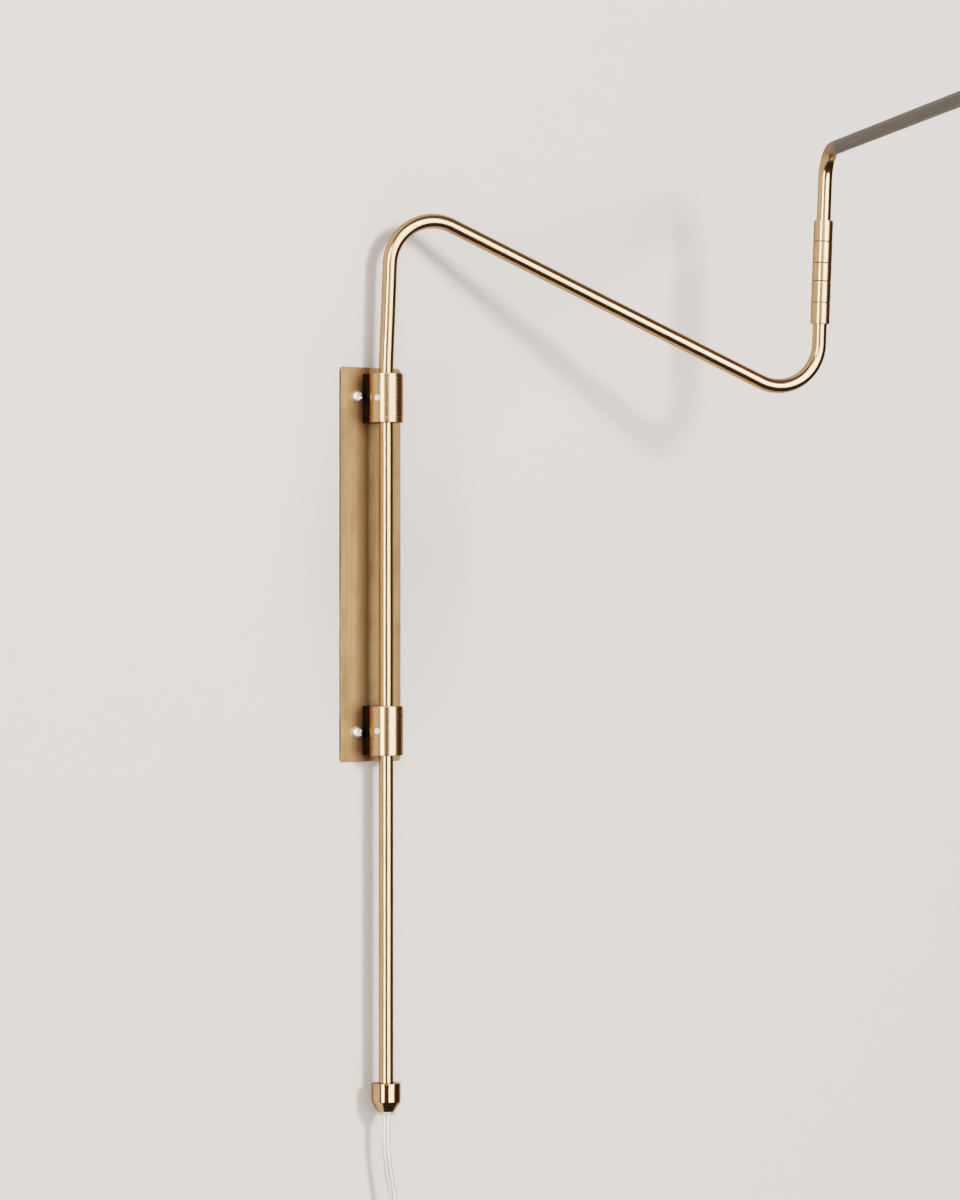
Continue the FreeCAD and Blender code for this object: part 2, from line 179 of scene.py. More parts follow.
def moulded(name, light, dark, roughness, scale, depth=0.2, **constants):
    material, tree, shader = newMaterial(name, **constants)
    where = surfaceVector(tree, False)
    cloud = noiseOn(tree, where, scale * 0.15, 3.0)
    fine = noiseOn(tree, where, scale, 6.0)
    tree.links.new(mixColours(tree, remap(tree, cloud, 0.3, 0.7), light + (1,), dark + (1,)),
                   shader.inputs["Base Color"])
    tree.links.new(remap(tree, fine, 0.3, 0.7, *roughness), shader.inputs["Roughness"])
    bump = addNode(tree, "ShaderNodeBump", {"Strength": depth, "Distance": 0.00015, "Height": fine})
    tree.links.new(bump.outputs[0], shader.inputs["Normal"])
    return material


tubeFinish = {
    "bright": (0.50, 0.314, 0.176), "aged": (0.40, 0.240, 0.132), "deep": (0.34, 0.198, 0.108),
    # the lighter edge colour stands for rubbed wear and a painted edge highlight
    "rubbedAndHighlight": (0.66, 0.46, 0.28), "wearAndHighlight": 0.0, "wearAndHighlightWidth": 0.0004, "edgeTint": (0.26, 0.18, 0.12, 1),
    "roughness": (0.15, 0.21), "patinaRoughness": 0.05, "patina": 0.5, "streak": 0.35,
    "grainScale": 900.0, "grainStretch": (1, 1, 0.02), "grainDepth": 0.08, "cloudScale": 35.0,
}
turnedFinish = dict(tubeFinish, wearAndHighlight=0.5, roughness=(0.19, 0.27), grainScale=700.0,
                    grainStretch=(0.03, 0.03, 3.0), grainDepth=0.06, cloudScale=60.0)
plateFinish = dict(tubeFinish, bright=(0.39, 0.236, 0.122), aged=(0.27, 0.158, 0.079), deep=(0.23, 0.132, 0.066),
                   wearAndHighlight=0.7, wearAndHighlightWidth=0.0007, roughness=(0.42, 0.55), patina=0.8, patinaRoughness=0.10, streak=0.6,
                   grainScale=420.0, grainStretch=(1, 1, 0.025), grainDepth=0.25, cloudScale=70.0,
                   cloudStretch=(1, 1, 0.6), blackSide=(-0.02532, -0.02518))
# second arm: painted shade on the tube past the elbow, dark grey-brown and dull
armTwoFinish = dict(tubeFinish, paintedShadeFrom=(0.058, 0.092), paintedShadeDark=(0.060, 0.052, 0.042),
                    paintedShadeLight=(0.082, 0.073, 0.059), paintedShadeRoughness=0.35)

tubeBrass = brassFinish("tubeBrass", tubeFinish, follows=True)
armTwoBrass = brassFinish("armTwoBrass", armTwoFinish, follows=True)
turnedBrass = brassFinish("turnedBrass", turnedFinish)
plateBrass = brassFinish("plateBrass", plateFinish)
ferruleBrass = brassFinish("ferruleBrass", dict(turnedFinish, roughness=(0.10, 0.15), patina=0.7))
knobBrass = brassFinish("knobBrass", dict(turnedFinish, roughness=(0.22, 0.30)))
contactBrass = plainMetal("contactBrass", (0.85, 0.66, 0.38), (0.70, 0.50, 0.26), (0.22, 0.38), 900.0)
# painted shade: the standoff blocks are painted near-black for their shaded, dark-reflecting sides
standoffShadeBlack = plainMetal("standoffShadeBlack", (0.020, 0.016, 0.014), (0.011, 0.009, 0.008), (0.32, 0.46), 700.0)
screwZinc = plainMetal("screwZinc", (0.90, 0.90, 0.90), (0.76, 0.77, 0.78), (0.34, 0.50), 1200.0)
darkSteel = plainMetal("darkSteel", (0.16, 0.16, 0.17), (0.09, 0.09, 0.10), (0.30, 0.48), 900.0)
formedMetal = plainMetal("formedMetal", (0.78, 0.78, 0.77), (0.62, 0.62, 0.62), (0.20, 0.34), 500.0)
bulbNickel = plainMetal("bulbNickel", (0.78, 0.76, 0.72), (0.60, 0.58, 0.55), (0.18, 0.34), 700.0)
bladeNickel = plainMetal("bladeNickel", (0.80, 0.77, 0.70), (0.66, 0.62, 0.54), (0.18, 0.30), 800.0)
copperStrand = plainMetal("copperStrand", (0.86, 0.82, 0.78), (0.74, 0.66, 0.60), (0.24, 0.40), 2500.0, 0.4)
nylonBlack = moulded("nylonBlack", (0.035, 0.035, 0.036), (0.02, 0.02, 0.021), (0.42, 0.58), 1500.0)
tieRubber = moulded("tieRubber", (0.05, 0.05, 0.052), (0.03, 0.03, 0.031), (0.55, 0.72), 2200.0, 0.35)
wireJacket = moulded("wireJacket", (0.80, 0.79, 0.76), (0.72, 0.71, 0.68), (0.40, 0.52), 1200.0)
phenolicBlack = moulded("phenolicBlack", (0.030, 0.022, 0.018), (0.018, 0.014, 0.012), (0.22, 0.36), 900.0)
linerFibre = moulded("linerFibre", (0.42, 0.28, 0.15), (0.33, 0.21, 0.11), (0.65, 0.80), 1600.0, 0.4)
clearVinyl = moulded("clearVinyl", (0.93, 0.94, 0.93), (0.88, 0.89, 0.88), (0.10, 0.20), 900.0, 0.15,
                     IOR=1.53, Transmission_Weight=0.92)
opalGlass = moulded("opalGlass", (0.90, 0.89, 0.86), (0.87, 0.86, 0.83), (0.16, 0.26), 600.0, 0.06,
                    IOR=1.5, Subsurface_Weight=0.35, Subsurface_Scale=0.004, Coat_Weight=0.25, Coat_Roughness=0.08)
print("materials ready")


# shapes

def baked(piece):
    # turns the modifiers into a plain mesh
    graph = bpy.context.evaluated_depsgraph_get()
    mesh = bpy.data.meshes.new_from_object(piece.evaluated_get(graph), preserve_all_data_layers=True,
                                           depsgraph=graph)
    piece.modifiers.clear()
    piece.data = mesh
    return piece


def newPiece(name, mesh):
    piece = bpy.data.objects.new(name, mesh)
    bpy.context.scene.collection.objects.link(piece)
    return piece


def fromTree(name, tree, inputs, source=None):
    piece = newPiece(name, source or bpy.data.meshes.new(name))
    modifier = piece.modifiers.new(tree.name, "NODES")
    modifier.node_group = tree
    for item in tree.interface.items_tree:
        if item.in_out == "INPUT" and item.name in inputs:
            modifier[item.identifier] = inputs[item.name]
    return baked(piece)


def smoothed(piece, sharpAngle=38.0, weighted=True):
    mesh = piece.data
    mesh.polygons.foreach_set("use_smooth", [True] * len(mesh.polygons))
    mesh.set_sharp_from_angle(angle=math.radians(sharpAngle))
    if weighted:  # keeps the flats flat beside their rounded edges
        modifier = piece.modifiers.new("weighted", "WEIGHTED_NORMAL")
        modifier.keep_sharp = True
        baked(piece)
    return piece


def outlineOf(points, cut=0.0, closed=True, steps=4):
    # rounds each corner of an outline; a third number is that corner's own cut
    rounded = []
    for index, point in enumerate(points):
        corner = Vector(point[:2])
        own = point[2] if len(point) > 2 else cut
        if not own or (not closed and index in (0, len(points) - 1)):
            rounded.append(corner)
            continue
        before = Vector(points[index - 1][:2]) - corner
        after = Vector(points[(index + 1) % len(points)][:2]) - corner
        start = corner + before.normalized() * min(own, before.length * 0.49)
        end = corner + after.normalized() * min(own, after.length * 0.49)
        for step in range(steps + 1):
            t = step / steps
            rounded.append(start * (1 - t) ** 2 + corner * 2 * t * (1 - t) + end * t ** 2)
    return rounded


def pieceFrom(name, shape):
    # faces outwards, then a mesh and its object
    bmesh.ops.recalc_face_normals(shape, faces=shape.faces)
    mesh = bpy.data.meshes.new(name)
    shape.to_mesh(mesh)
    shape.free()
    return newPiece(name, mesh)


def skinned(shape, rings):
    # joins each ring of points to the next
    for low, high in zip(rings, rings[1:]):
        for k in range(len(low)):
            shape.faces.new([low[k - 1], low[k], high[k], high[k - 1]])


def lathe(name, outline, place=None, steps=96, closed=True):
    # turns an outline of (radius, height) points about Z, then moves it to its place
    shape = bmesh.new()
    rings = []
    for radius, height in outline:
        if radius < 1e-6:
            rings.append([shape.verts.new((0, 0, height))] * steps)
        else:
            rings.append([shape.verts.new((radius * math.cos(math.tau * k / steps),
                                           radius * math.sin(math.tau * k / steps), height))
                          for k in range(steps)])
    pairs = list(zip(rings, rings[1:])) + ([(rings[-1], rings[0])] if closed else [])
    for low, high in pairs:
        for k in range(steps):
            corners = [low[k - 1], low[k], high[k], high[k - 1]]
            corners = [v for i, v in enumerate(corners) if v not in corners[:i]]
            if len(corners) > 2:
                shape.faces.new(corners)
    piece = pieceFrom(name, shape)
    if place:
        piece.data.transform(place)
    return smoothed(piece)


def cutAway(piece, cutter):
    modifier = piece.modifiers.new("cut", "BOOLEAN")
    modifier.object = cutter
    modifier.operation = "DIFFERENCE"
    modifier.solver = "EXACT"
    baked(piece)
    bpy.data.objects.remove(cutter)
    return smoothed(piece)


def joined(name, pieces):
    with bpy.context.temp_override(active_object=pieces[0], object=pieces[0], selected_editable_objects=pieces,
                                   selected_objects=pieces):
        bpy.ops.object.join()
    pieces[0].name = name
    return pieces[0]


def finishPiece(piece, body, materials, slot, *replaced):
    # dresses a piece, hangs it on its body and hides the CAD parts it stands for
    if materials:
        piece.data.materials.clear()
        for material in materials if isinstance(materials, list) else [materials]:
            piece.data.materials.append(material)
    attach(piece, body)
    if replaced:
        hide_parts(*replaced)
    return piece


# camera

cameraSettings = {"place": (-1.8798, -2.3564, -0.02345), "heading": 39.97, "lens": 136.8}
cameraData = bpy.data.cameras.new("camera")
cameraData.lens = cameraSettings["lens"]
cameraData.clip_start = 0.05
camera = newPiece("camera", cameraData)
camera.location = cameraSettings["place"]
camera.rotation_euler = (math.radians(90), 0, -math.radians(cameraSettings["heading"]))
bpy.context.scene.camera = camera
print("camera placed")


# cord: leaves the ferrule, is folded into a tied hank and ends in a plug

cordSettings = {
    "length": 1.8, "width": 5.2 * mm, "thickness": 2.7 * mm, "strand": 0.72 * mm,
    "turns": 7, "layerPitch": 2.9 * mm, "loopHalf": 16.0 * mm, "waistHalf": 5.0 * mm,
    "hankTop": -468.7 * mm, "hankFoot": -557.0 * mm, "hankX": 11.2 * mm, "hankY": -18.8 * mm,
    "frontY": -28.9 * mm, "turnBegins": -0.362, "turnHeight": 0.093, "step": 1.6 * mm,
}
cordLead = [(0, -17.6, -361.8), (-0.6, -17.6, -379), (2.8, -17.1, -402), (8.0, -17.4, -426),
            (10.9, -19.8, -444), (13.5, -25.0, -458)]
cordTail = [(15.0, -9.2, -556), (12.6, -14.0, -566), (11.2, -18.4, -572), (11.0, -19.0, -577.7)]


def hankPoints(s):
    # each turn: down the right side, round the foot, up the left side and over the top to the next layer
    middle = (s["hankTop"] + s["hankFoot"]) / 2
    endZ = (s["hankTop"] - s["hankFoot"]) / 2
    reach, waist = s["loopHalf"], s["waistHalf"]
    side = [(waist, 0.0), (waist * 1.25, 0.22), (reach * 0.82, 0.48), (reach * 1.02, 0.68), (reach * 0.84, 0.90),
            (reach * 0.35, 1.03)]
    points = []
    for turn in range(s["turns"] + 1):
        y = s["frontY"] + turn * s["layerPitch"]
        wobble = 0.4 * mm * math.sin(turn * 2.3)
        run = [(x + wobble, -h) for x, h in side] + [(-x + wobble, -h) for x, h in reversed(side)]
        run += [(-x, h) for x, h in side[1:]] + [(x, h) for x, h in reversed(side[1:])]
        if turn == 0:  # comes in from above on the right
            points += [(s["hankX"] + x, y, middle + h * endZ) for x, h in reversed(side[1:4])]
        if turn == s["turns"]:
            run = run[:4]
        for k, (x, h) in enumerate(run):
            climb = max(0.0, (k - 17) / 5) * s["layerPitch"]
            points.append((s["hankX"] + x, y + climb, middle + h * endZ))
    return points


def nurbsLine(points):
    curve = bpy.data.curves.new("cordRoute", "CURVE")
    curve.dimensions = "3D"
    spline = curve.splines.new("NURBS")
    spline.points.add(len(points) - 1)
    for place, point in zip(points, spline.points):
        point.co = (*place, 1.0)
    spline.order_u = 3
    spline.use_endpoint_u = True
    spline.resolution_u = 8
    holder = bpy.data.objects.new("cordRoute", curve)
    mesh = bpy.data.meshes.new_from_object(holder)
    line = [v.co.copy() for v in mesh.vertices]
    bpy.data.curves.remove(curve)
    return line


def evenly(line, step):
    # the same line with points at equal distances
    lengths = [0.0]
    for a, b in zip(line, line[1:]):
        lengths.append(lengths[-1] + (b - a).length)
    count = max(2, round(lengths[-1] / step))
    result, k = [], 0
    for i in range(count + 1):
        at = lengths[-1] * i / count
        while k < len(lengths) - 2 and lengths[k + 1] < at:
            k += 1
        t = (at - lengths[k]) / max(lengths[k + 1] - lengths[k], 1e-9)
        result.append(line[k].lerp(line[k + 1], t))
    return result, lengths[-1]


def sectionPoints(width, thickness, lobeSteps=7):
    # two round cores side by side with a shallow groove between them
    radius = thickness / 2
    offset = width / 2 - radius
    lobe = [math.radians(-142 + 284 * k / (lobeSteps - 1)) for k in range(lobeSteps)]
    right = [(offset + radius * math.cos(a), radius * math.sin(a)) for a in lobe]
    groove = radius * 0.52
    return right + [(0.0, groove)] + [(-x, -y) for x, y in right] + [(0.0, -groove)]


def ribbonTube(name, line, section, widthAt):
    # sweeps a section along a line; widthAt gives the direction of the section's width
    shape = bmesh.new()
    rings = []
    for i, point in enumerate(line):
        ahead = (line[min(i + 1, len(line) - 1)] - line[max(i - 1, 0)]).normalized()
        wide = widthAt(point, i / (len(line) - 1))
        wide = (wide - ahead * wide.dot(ahead)).normalized()
        thick = ahead.cross(wide)
        rings.append([shape.verts.new(point + wide * x + thick * y) for x, y in section])
    skinned(shape, rings)
    shape.faces.new(reversed(rings[0]))
    shape.faces.new(rings[-1])
    return smoothed(pieceFrom(name, shape), 60.0, weighted=False)


def cordWidth(point, share):
    # turns slowly on its way down, edge on in the folded length
    turn = min(1.0, max(0.0, (cordSettings["turnBegins"] - point.z) / cordSettings["turnHeight"]))
    angle = math.radians(-90 * turn)
    return Vector((math.cos(angle), math.sin(angle), 0.0))


cordPoints = [Vector(p) * mm for p in cordLead] + [Vector(p) for p in hankPoints(cordSettings)]
cordPoints += [Vector(p) * mm for p in cordTail]
cordLine, cordLength = evenly(nurbsLine(cordPoints), cordSettings["step"])
cordJacket = ribbonTube("cordJacket", cordLine, sectionPoints(cordSettings["width"], cordSettings["thickness"]),
                        cordWidth)
coreOffset = (cordSettings["width"] - cordSettings["thickness"]) / 2
cores = []
for side in (-1, 1):
    ring = [(side * coreOffset + cordSettings["strand"] * math.cos(math.tau * k / 7),
             cordSettings["strand"] * math.sin(math.tau * k / 7)) for k in range(7)]
    core = ribbonTube("cordCore", cordLine[1:-1], ring, cordWidth)
    core.data.materials.append(copperStrand)
    cores.append(core)
cordJacket.data.materials.append(clearVinyl)
cord = joined("cord", [cordJacket] + cores)
finishPiece(cord, "cord_end", None, "clear_pvc", "cord_lead", "cord_tail", "cord_hank")
print("cord", round(cordLength, 3), "m long")


# plug on the cord's end

plugSettings = {"top": -578.0 * mm, "x": 11.0 * mm, "y": -19.0 * mm, "ribs": 7, "ribPitch": 2.1,
                "grips": 4, "gripPitch": 2.6}  # pitches in millimetres, as the outlines below


def loftedBody(name, sections, steps=64, power=4.0):
    # rounded oblong rings (height, half width, half depth) joined from top to bottom
    shape = bmesh.new()
    rings = []
    for height, halfWidth, halfDepth in sections:
        ring = []
        for k in range(steps):
            angle = math.tau * k / steps
            c, s = math.cos(angle), math.sin(angle)
            ring.append(shape.verts.new((halfWidth * math.copysign(abs(c) ** (2 / power), c),
                                         halfDepth * math.copysign(abs(s) ** (2 / power), s), height)))
        rings.append(ring)
    skinned(shape, rings)
    shape.faces.new(rings[0])
    shape.faces.new(rings[-1])
    return smoothed(pieceFrom(name, shape))


plugPlace = Matrix.Translation((plugSettings["x"], plugSettings["y"], plugSettings["top"]))
plugSections = [(-7.5, 5.0, 4.4), (-8.6, 6.2, 5.0), (-10.5, 9.4, 5.5), (-12.5, 11.2, 5.85), (-15.0, 11.9, 6.0)]
for rib in range(plugSettings["grips"]):  # finger grips pressed into the flanks
    top = -16.0 - plugSettings["gripPitch"] * rib
    plugSections += [(top, 11.9, 6.0), (top - 0.5, 11.45, 5.65), (top - 1.3, 11.45, 5.65), (top - 1.8, 11.9, 6.0)]
plugSections += [(-28.6, 12.0, 6.0), (-29.4, 11.8, 5.8), (-30.0, 11.2, 5.2)]
plugBody = loftedBody("plugBody", [(h * mm, w * mm, d * mm) for h, w, d in plugSections])
plugBody.data.transform(plugPlace)
reliefOutline = [(2.75, 6.0), (3.0, 6.0)]
for rib in range(plugSettings["ribs"]):  # bending ribs, wider towards the plug
    height = 5.2 - plugSettings["ribPitch"] * rib
    radius = 3.15 + 0.26 * rib
    reliefOutline += [(radius, height), (radius + 0.05, height - 1.2), (radius - 0.45, height - 1.4),
                      (radius - 0.4, height - 2.0)]
reliefOutline += [(5.2, -9.6), (2.75, -9.6)]
plugRelief = lathe("plugRelief", outlineOf([(r * mm, h * mm) for r, h in reliefOutline], 0.12 * mm, steps=2),
                   plugPlace, 48)
plug = joined("plug", [plugBody, plugRelief])
finishPiece(plug, "cord_end", clearVinyl, "clear_pvc", "plug_body")


# strap round the folded cord

strapSettings = {"halfWidth": 8.3 * mm, "halfDepth": 12.6 * mm, "corner": 3.2 * mm, "height": 10 * mm,
                 "thickness": 1.1 * mm, "edge": 0.4 * mm}


def makeLoopTree():
    # a band of oblong section swept round a rounded rectangle
    tree, given = newTree("roundedLoop", {"Width": "Float", "Depth": "Float", "Corner": "Float",
                                          "Band Height": "Float", "Band Thickness": "Float", "Edge": "Float",
                                          "Material": "Material"})
    frameCurve = addNode(tree, "GeometryNodeCurvePrimitiveQuadrilateral",
                         {"Width": given["Width"], "Height": given["Depth"]})
    path = addNode(tree, "GeometryNodeFilletCurve", {"Curve": frameCurve.outputs[0], "Radius": given["Corner"]},
                   mode="POLY")
    path.inputs["Count"].default_value = 12
    bandCurve = addNode(tree, "GeometryNodeCurvePrimitiveQuadrilateral",
                        {"Width": given["Band Thickness"], "Height": given["Band Height"]})
    band = addNode(tree, "GeometryNodeFilletCurve", {"Curve": bandCurve.outputs[0], "Radius": given["Edge"]},
                   mode="POLY")
    band.inputs["Count"].default_value = 3
    swept = addNode(tree, "GeometryNodeCurveToMesh", {"Curve": path.outputs[0], "Profile Curve": band.outputs[0]})
    return endTree(tree, swept.outputs[0], given["Material"])


loopTree = makeLoopTree()
strap = fromTree("cordStrap", loopTree, {
    "Width": 2 * strapSettings["halfWidth"], "Depth": 2 * strapSettings["halfDepth"],
    "Corner": strapSettings["corner"],
    "Band Height": strapSettings["height"], "Band Thickness": strapSettings["thickness"],
    "Edge": strapSettings["edge"],
    "Material": tieRubber})
strap.data.transform(Matrix.Translation((cordSettings["hankX"], cordSettings["hankY"],
                                         (cordSettings["hankTop"] + cordSettings["hankFoot"]) / 2)))
smoothed(strap)
finishPiece(strap, "cord_end", None, "bush_nylon", "cord_tie")
print("cord, plug and strap made")


# arms: two bent tubes

arms = {
    "tubeRadius": 9.525 / 2 * mm, "tubeWall": 1.0 * mm,
    "poleY": joints["first_arm_swing"]["pos_m"][1], "tail": -349 * mm,
    "kinkHeight": 130 * mm, "kinkRadius": 150 * mm,
    "reach": 305 * mm, "topCorner": 112.6 * mm, "lowCorner": -12.7 * mm, "bendRadius": 30 * mm,
    "knuckleBase": 45.6 * mm, "armTwoRise": 163.2 * mm, "elbowRadius": 20 * mm, "legEnd": 44 * mm,
    "knobDrop": 74 * mm, "knobOut": 24 * mm,
}
rise = Vector(joints["second_arm_swing"]["axis"]).normalized()
outwards = Vector((rise.x, rise.y, 0)).normalized()
leanAngle = math.acos(rise.z)
alongOne = outwards * math.cos(leanAngle) - up * math.sin(leanAngle)
kink = Vector((0, arms["poleY"], arms["kinkHeight"]))
knobAxis = Vector(joints["switch_turn"]["axis"]).normalized()
knobPlace = Vector(joints["switch_turn"]["pos_m"])


def onArmOne(reach, height):
    return kink + alongOne * reach + rise * height


knuckle = onArmOne(arms["reach"], arms["knuckleBase"])
elbow = onArmOne(arms["reach"], arms["armTwoRise"])
farCorner = knobPlace - knobAxis * arms["knobOut"] + rise * arms["knobDrop"]
leaned = up.rotation_difference(rise).to_matrix().to_4x4()
atKnuckle = Matrix.Translation(knuckle) @ leaned
atLamp = Matrix.Translation(farCorner) @ leaned


def makeBentTubeTree():
    # corner points with a bend radius each become a smooth tube that keeps its rim direction and run
    tree, given = newTree("bentTube", {"Radius": "Float", "Rim Steps": "Int", "Bend Steps": "Int",
                                       "Material": "Material"})
    corners = addNode(tree, "GeometryNodeMeshToCurve", {"Mesh": tree.nodes["Group Input"].outputs["Geometry"]})
    bend = addNode(tree, "GeometryNodeInputNamedAttribute", {"Name": "bend"}, data_type="FLOAT")
    filleted = addNode(tree, "GeometryNodeFilletCurve", {"Curve": corners.outputs[0], "Radius": bend.outputs[0],
                                                         "Count": given["Bend Steps"]}, mode="POLY")
    filleted.inputs["Limit Radius"].default_value = True
    run = addNode(tree, "GeometryNodeSplineParameter").outputs["Length"]
    path = addNode(tree, "GeometryNodeStoreNamedAttribute", {"Geometry": filleted.outputs[0], "Name": "run",
                                                             "Value": run}, data_type="FLOAT", domain="POINT")
    circle = addNode(tree, "GeometryNodeCurvePrimitiveCircle", {"Resolution": given["Rim Steps"],
                                                               "Radius": given["Radius"]})
    where = addNode(tree, "GeometryNodeInputPosition").outputs[0]
    rim = addNode(tree, "GeometryNodeStoreNamedAttribute", {"Geometry": circle.outputs[0], "Name": "rim",
                                                            "Value": where}, data_type="FLOAT_VECTOR",
                                                            domain="POINT")
    swept = addNode(tree, "GeometryNodeCurveToMesh", {"Curve": path.outputs[0], "Profile Curve": rim.outputs[0]})
    return endTree(tree, swept.outputs[0], given["Material"])


bentTubeTree = makeBentTubeTree()


def bentTube(name, corners, bends, material):
    mesh = bpy.data.meshes.new(name)
    mesh.from_pydata(corners, [(k, k + 1) for k in range(len(corners) - 1)], [])
    mesh.attributes.new("bend", "FLOAT", "POINT").data.foreach_set("value", [0.0] + bends + [0.0])
    tube = fromTree(name, bentTubeTree, {"Radius": arms["tubeRadius"], "Rim Steps": 72, "Bend Steps": 40,
                                         "Material": material}, mesh)
    wall = tube.modifiers.new("wall", "SOLIDIFY")
    wall.thickness = arms["tubeWall"]
    wall.offset = -1
    return smoothed(baked(tube), 50.0, weighted=False)


armOneCorners = [Vector((0, arms["poleY"], arms["tail"])), kink, onArmOne(0, arms["topCorner"]),
                 onArmOne(arms["reach"], arms["lowCorner"]), onArmOne(arms["reach"], arms["knuckleBase"] + 29 * mm)]
armOne = bentTube("firstArm", armOneCorners, [arms["kinkRadius"], arms["bendRadius"], arms["bendRadius"]],
                  tubeBrass)
finishPiece(armOne, "first_arm", None, "tube_brass", "first_arm_tube")
armTwoCorners = [onArmOne(arms["reach"], arms["knuckleBase"] + 56.4 * mm), elbow, farCorner,
                 farCorner - rise * arms["legEnd"]]
armTwo = bentTube("secondArm", armTwoCorners, [arms["elbowRadius"]] * 2, armTwoBrass)
finishPiece(armTwo, "second_arm", None, "tube_brass", "second_arm_tube")
print("arms bent")


# swivel: five turned rings between the arms, fine joints between them

ringSettings = {"radius": 6.5 * mm, "heights": (14.5, 14.5, 12.4, 14.5, 14.5), "tubeBore": 4.80 * mm,
                "pivotBore": 3.75 * mm, "edge": 0.42 * mm, "gap": 0.12 * mm}


def ringOutline(outer, bore, low, high, edge):
    return outlineOf([(bore, low, 0.1 * mm), (outer, low, edge), (outer, high, edge), (bore, high, 0.1 * mm)],
                     steps=3)


def makeRings(name, numbers):
    rings = []
    for number in numbers:
        low = sum(ringSettings["heights"][:number - 1]) * mm
        high = low + ringSettings["heights"][number - 1] * mm
        bore = ringSettings["tubeBore"] if number in (1, 2, 5) else ringSettings["pivotBore"]
        rings.append(lathe(name + str(number), ringOutline(ringSettings["radius"], bore, low + ringSettings["gap"],
                                                           high - ringSettings["gap"], ringSettings["edge"]),
                           atKnuckle, 80))
    return joined(name, rings)


finishPiece(makeRings("lowerRings", (1, 2, 3)), "first_arm", turnedBrass, "turned_brass",
            "knuckle_ring_1", "knuckle_ring_2", "knuckle_ring_3")
finishPiece(makeRings("upperRings", (4, 5)), "second_arm", turnedBrass, "turned_brass",
            "knuckle_ring_4", "knuckle_ring_5")


# tail ferrule and its clear bushing

ferruleOutline = outlineOf([(4.80, -341.1, 0.15), (9.525, -341.1, 0.45), (9.525, -353.3, 0.35), (5.35, -359.9, 0.3),
                            (3.55, -359.9, 0.15), (3.55, -350.0, 0.1), (4.80, -350.0, 0.1)])
atPole = Matrix.Translation((0, arms["poleY"], 0))
ferrule = lathe("tailFerrule", [p * mm for p in ferruleOutline], atPole, 128)
finishPiece(ferrule, "first_arm", ferruleBrass, "turned_brass", "tail_ferrule")
bushingOutline = outlineOf([(2.75, -351.4), (3.5, -351.4), (3.5, -359.95, 0.05), (5.3, -359.95), (5.3, -361.3),
                            (4.9, -361.8), (2.75, -361.8)], 0.2)
bushing = lathe("cordBushing", [p * mm for p in bushingOutline], atPole, 64)
finishPiece(bushing, "cord_end", clearVinyl, "clear_pvc", "cord_bushing")


# collars, each with a hole for its set screw

collarSettings = {"radius": 11.1 * mm, "bore": 6.02 * mm, "height": 32.5 * mm, "at": 109.4 * mm, "edge": 0.5 * mm,
                  "holeRadius": 2.05 * mm, "holeAngle": -162.0, "holeDepth": 14 * mm}


def roundBar(name, radius, start, end, steps=48):
    length = (end - start).length
    turn = up.rotation_difference((end - start).normalized()).to_matrix().to_4x4()
    return lathe(name, [Vector((0, 0)), Vector((radius, 0)), Vector((radius, length)), Vector((0, length))],
                 Matrix.Translation(start) @ turn, steps, closed=False)


holeAngle = math.radians(collarSettings["holeAngle"])
holeOut = Vector((math.cos(holeAngle), math.sin(holeAngle), 0))
collars = []
for side in (1, -1):
    centre = Vector((0, arms["poleY"], side * collarSettings["at"]))
    half = collarSettings["height"] / 2
    collar = lathe("collar", ringOutline(collarSettings["radius"], collarSettings["bore"], -half, half,
                                         collarSettings["edge"]), Matrix.Translation(centre), 160)
    collars.append(cutAway(collar, roundBar("drill", collarSettings["holeRadius"], centre,
                                            centre + holeOut * collarSettings["holeDepth"])))
finishPiece(joined("collars", collars), "bracket", turnedBrass, "turned_brass", "upper_collar", "lower_collar")
print("rings, ferrule and collars turned")


# wall screws: pan heads with a cross recess, threads behind the plate

screwSettings = {"x": 12.1 * mm, "z": 110.6 * mm, "seat": -1.6 * mm, "shank": 1.85 * mm, "threadDepth": 0.3 * mm,
                 "pitch": 1.55 * mm, "turns": 15.0, "threadStart": 3.2 * mm, "seed": 4, "spin": 0.9}


